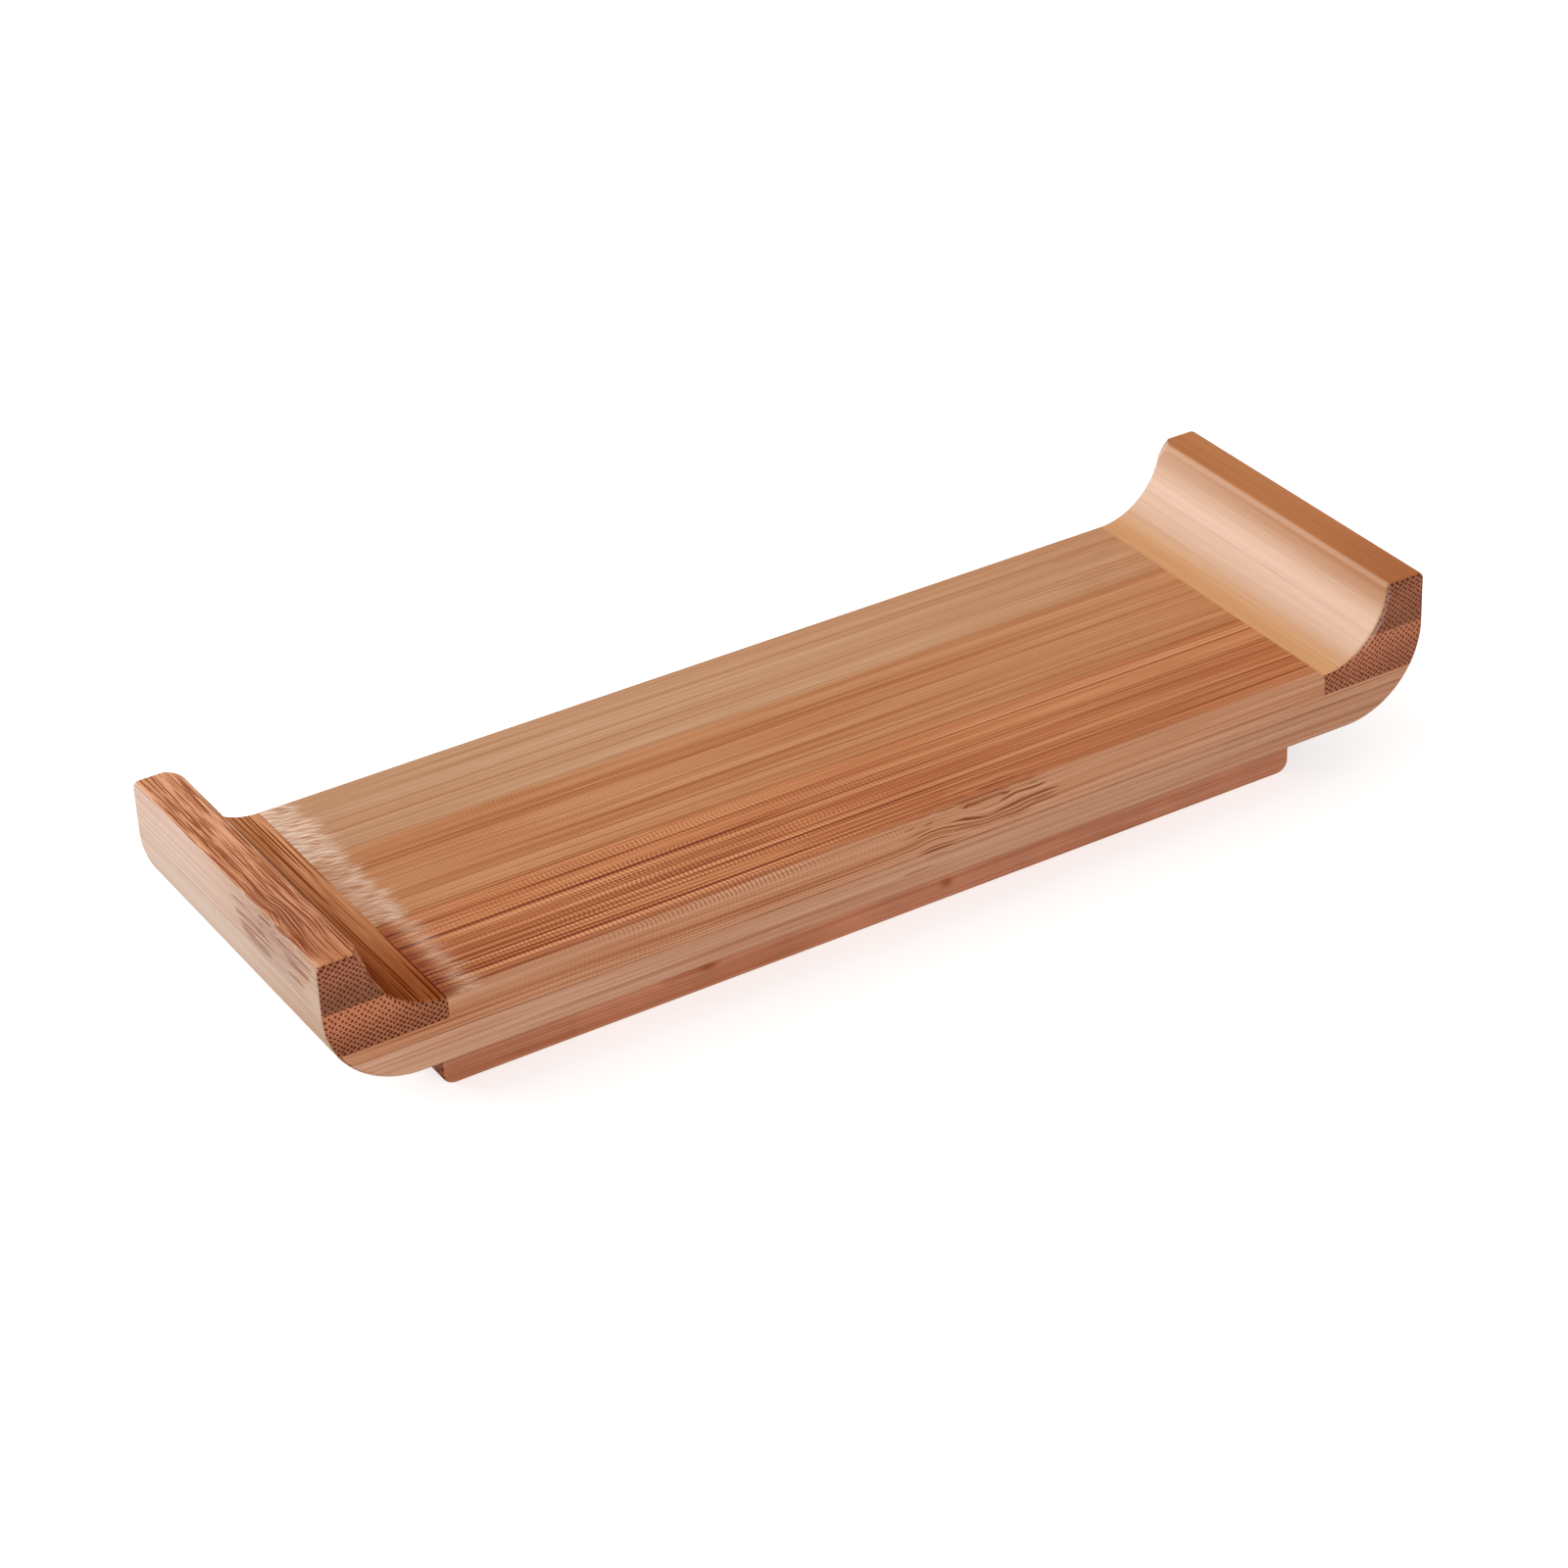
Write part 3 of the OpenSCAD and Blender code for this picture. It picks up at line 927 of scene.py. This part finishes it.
def bamboo_material(node, look, colours):
    """The bamboo of one strip: solid grain turned to its fibres, glue lines, the marks of its making and
    painted shade.
    """
    low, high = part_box(node)
    material = bpy.data.materials.new(node + "_bamboo")
    sheet = empty_sheet(material)
    coordinates = sheet.add("TexCoord").outputs
    place = coordinates["Object"]
    normal = coordinates["Normal"]
    grain = place_grain(sheet, place, look, low, high)

    colour, dark = long_grain_colour(sheet, place, normal, grain, look, colours)
    across = sheet.math("ABSOLUTE", sheet.dot(normal, BACK if look.fibre == "Y" else RIGHT))
    end_grain = sheet.span(across, 0.40, 0.60)
    # Each of these darkens round a place: real dark spots on the runners, painted shade in and beside the
    # left cove, and darker patches elsewhere.
    for middle, reach, amount in look.dark_spots_and_shade:
        colour = sheet.tinted(colour, sheet.product(sheet.nearness(place, middle, reach), -amount))
    colour = sheet.mix(end_grain, colour, end_grain_colour(sheet, grain, look, colours))
    glued_low, glued_high = glued_sides(low, high)
    glue = place_group(sheet, "Glue line", {
        "Place": place, "Low": glued_low, "High": glued_high, "Width": 0.16 * MM})["Line"]
    colour = sheet.mix(sheet.product(glue, look.glue), colour, solid(colours.glue))

    fibre_height, groove_depth, deepest_groove = 0.6, 0.25, 0.3
    groove = sheet.math("MINIMUM", sheet.product(dark, groove_depth), deepest_groove)
    height = sheet.math("SUBTRACT", sheet.product(grain["Fine"], fibre_height), groove)
    if look.chatter:
        colour, height = add_chatter(sheet, place, normal, look.chatter, colour, height)
    if look.scuff:
        colour, height = add_scuff_and_toe_shadow(sheet, place, normal, look.scuff, colours, colour, height)

    rougher_ends = 0.25
    bump = sheet.add("Bump", {"Strength": 0.45, "Distance": 0.08 * MM, "Height": height})
    rough = sheet.span(grain["Fine"], *NOISE_WIDE, to_low=0.36, to_high=0.48)
    rough = sheet.math("ADD", rough, sheet.product(end_grain, rougher_ends))
    surface = sheet.add("BsdfPrincipled", {
        "Base Color": colour, "Roughness": rough, "Normal": bump.outputs["Normal"], "IOR": 1.5,
        "Specular IOR Level": look.gloss})
    if look.polish:
        burnished = sheet.span(sheet.dot(normal, look.polish), 0.1, 0.6)
        worn_from, worn_to = LIP_TOP - 1.2 * MM, LIP_TOP - 0.5 * MM
        kept = sheet.span(sheet.dot(place, UP), worn_from, worn_to, to_low=1.0, to_high=0.4)
        sheet.put(surface.inputs["Coat Weight"], sheet.product(burnished, kept))
        sheet.put(surface.inputs["Coat Roughness"], 0.42)
    sheet.add("OutputMaterial", {"Surface": surface.outputs["BSDF"]})
    return material


class GETA_OT_deck_strips(Operator):
    """Model the six strips of the deck, three in each layer, with the seats for the lips"""

    bl_idname = "geta.deck_strips"
    bl_label = "Deck strips"
    bl_options = {"REGISTER", "UNDO"}

    def execute(self, context):
        blank = model_blank(context.scene.geta_sizes)
        for node, look in DECK_LOOKS.items():
            low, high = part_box(node)
            if same(high.z, DECK_TOP):
                piece = cut_to_box(blank, node, low, Vector((high.x, high.y, LIP_TOP)))
                cut_lip_seats(piece)
            else:
                piece = cut_to_box(blank, node, low, high)
            finish_piece(piece, node, look)
        remove(blank)
        return {"FINISHED"}


class GETA_OT_lip_strips(Operator):
    """Model the two strips of each lip, with the cove, the eased top and their share of the end round"""

    bl_idname = "geta.lip_strips"
    bl_label = "Lip strips"
    bl_options = {"REGISTER", "UNDO"}

    def execute(self, context):
        sizes = context.scene.geta_sizes
        blank = model_blank(sizes)
        sanded = {
            "left_lip_upper_strip": {FRONT_Y: sizes.left_front_corner, BACK_Y: sizes.left_back_corner},
            "right_lip_upper_strip": {BACK_Y: sizes.right_back_corner},
        }
        for node, look in LIP_LOOKS.items():
            low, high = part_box(node)
            piece = cut_to_box(blank, node, low, high)
            for end, width in sanded.get(node, {}).items():
                sand_corner(piece, math.copysign(1, low.x), end, width, sizes)
            finish_piece(piece, node, look)
        remove(blank)
        return {"FINISHED"}


class GETA_OT_runners(Operator):
    """Model the two runner feet, with rounded lower corners at their ends"""

    bl_idname = "geta.runners"
    bl_label = "Runners"
    bl_options = {"REGISTER", "UNDO"}

    def execute(self, context):
        sizes = context.scene.geta_sizes
        for node, look in RUNNER_LOOKS.items():
            low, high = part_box(node)
            piece = add_box(node + "_bamboo", low, high)
            edit(piece)
            select_edges(piece, lambda one, other: same(one.z, low.z) and same(other.z, low.z)
                         and same(one.x, other.x))
            bpy.ops.mesh.bevel(offset=sizes.runner_corner, segments=10, affect="EDGES")
            select_edges(piece, lambda one, other: same(one.y, other.y) and not (
                same(one.z, high.z) and same(other.z, high.z)))
            bpy.ops.mesh.bevel(offset=sizes.runner_edge, segments=4, affect="EDGES", clamp_overlap=False)
            finish_piece(piece, node, look)
        return {"FINISHED"}


def add_lamp(name, place, width, height, power):
    """A soft lamp that shines from a place towards the board."""
    place = Vector(place)
    lamp = added(bpy.ops.object.light_add, name, type="AREA", location=place)
    lamp.rotation_euler = (Vector(LAMP_AIM) - place).to_track_quat("-Z", "Y").to_euler()
    lamp.data.shape = "RECTANGLE"
    lamp.data.size = width
    lamp.data.size_y = height
    lamp.data.energy = power


def seen_or_mirrored(sheet):
    """A mask of what the camera sees straight, in a gloss or through glass."""
    path = sheet.add("LightPath").outputs
    mirrored = sheet.math("MAXIMUM", path["Is Glossy Ray"], path["Is Transmission Ray"])
    return sheet.math("MAXIMUM", path["Is Camera Ray"], mirrored)


class GETA_OT_stage(Operator):
    """Set up a plain white floor, soft lamps and the camera"""

    bl_idname = "geta.stage"
    bl_label = "Stage"
    bl_options = {"REGISTER", "UNDO"}

    def execute(self, context):
        self.lay_floor(context.scene.geta_colours)
        self.light_room(context.scene)
        self.place_camera(context.scene)
        context.scene.view_settings.view_transform = "Standard"
        return {"FINISHED"}

    def lay_floor(self, colours):
        """A wide floor that stays white and keeps the board's shadow."""
        floor = added(bpy.ops.mesh.primitive_plane_add, "floor", size=8, location=(0, 0, 0))
        material = bpy.data.materials.new("floor_white")
        sheet = empty_sheet(material)
        matt = sheet.add("BsdfDiffuse", {"Color": solid(colours.floor)})
        glow = sheet.add("Emission", {
            "Color": WHITE, "Strength": sheet.product(seen_or_mirrored(sheet), FLOOR_GLOW)})
        both = sheet.add("AddShader")
        sheet.fill(both, (matt.outputs["BSDF"], glow.outputs["Emission"]))
        sheet.add("OutputMaterial", {"Surface": both.outputs["Shader"]})
        floor.data.materials.append(material)

    def light_room(self, scene):
        """A white room, two lamps at the back left, one high and one low, and one at the front."""
        world = bpy.data.worlds.new("white_room")
        scene.world = world
        sheet = empty_sheet(world)
        strength = sheet.add("MapRange", {"Value": seen_or_mirrored(sheet), "To Min": 0.42, "To Max": 1.0})
        room = sheet.add("Background", {"Color": WHITE, "Strength": strength.outputs["Result"]})
        sheet.add("OutputWorld", {"Surface": room.outputs["Background"]})
        for lamp in LAMPS:
            add_lamp(*lamp)

    def place_camera(self, scene):
        """The camera at the photograph's angle, with a slight roll."""
        toward_camera = Vector((-0.43078, -0.73693, 0.52093))
        aim = Vector((-8.98, -9.76, 21.8)) * MM
        distance = 0.74159
        roll = math.radians(-2.671)
        sight = -toward_camera.normalized()
        right = sight.cross(Vector(UP)).normalized()
        up = right.cross(sight)
        rolled_right = math.cos(roll) * right + math.sin(roll) * up
        rolled_up = math.cos(roll) * up - math.sin(roll) * right
        turn = Matrix((rolled_right, rolled_up, -sight)).transposed()
        camera = added(bpy.ops.object.camera_add, "photo_camera", location=aim - sight * distance,
                       rotation=turn.to_euler())
        camera.data.lens = 103.87
        camera.data.sensor_width = 36.0
        camera.data.clip_start = 0.01
        scene.camera = camera


class GETA_PT_board(Panel):
    """Sizes, colours and steps of the geta board"""

    bl_idname = "GETA_PT_board"
    bl_label = "Sushi geta board"
    bl_space_type = "VIEW_3D"
    bl_region_type = "UI"
    bl_category = "Geta board"

    def draw(self, context):
        layout = self.layout
        for group in (context.scene.geta_sizes, context.scene.geta_colours):
            for name in group.bl_rna.properties.keys():
                if name not in ("rna_type", "name"):
                    layout.prop(group, name)
        for operator in STEPS:
            layout.operator(operator.bl_idname)


STEPS = (GETA_OT_deck_strips, GETA_OT_lip_strips, GETA_OT_runners, GETA_OT_stage)
CLASSES = (GetaSizes, GetaColours, *STEPS, GETA_PT_board)


def register():
    """Registers the classes and the board's settings."""
    for cls in CLASSES:
        bpy.utils.register_class(cls)
    bpy.types.Scene.geta_sizes = PointerProperty(type=GetaSizes)
    bpy.types.Scene.geta_colours = PointerProperty(type=GetaColours)


def unregister():
    """Removes the board's settings and the classes."""
    del bpy.types.Scene.geta_colours
    del bpy.types.Scene.geta_sizes
    for cls in reversed(CLASSES):
        bpy.utils.unregister_class(cls)


def main():
    """Builds the board and its stage."""
    register()
    bpy.ops.geta.deck_strips()
    bpy.ops.geta.lip_strips()
    bpy.ops.geta.runners()
    bpy.ops.geta.stage()


if __name__ == "__main__":
    main()
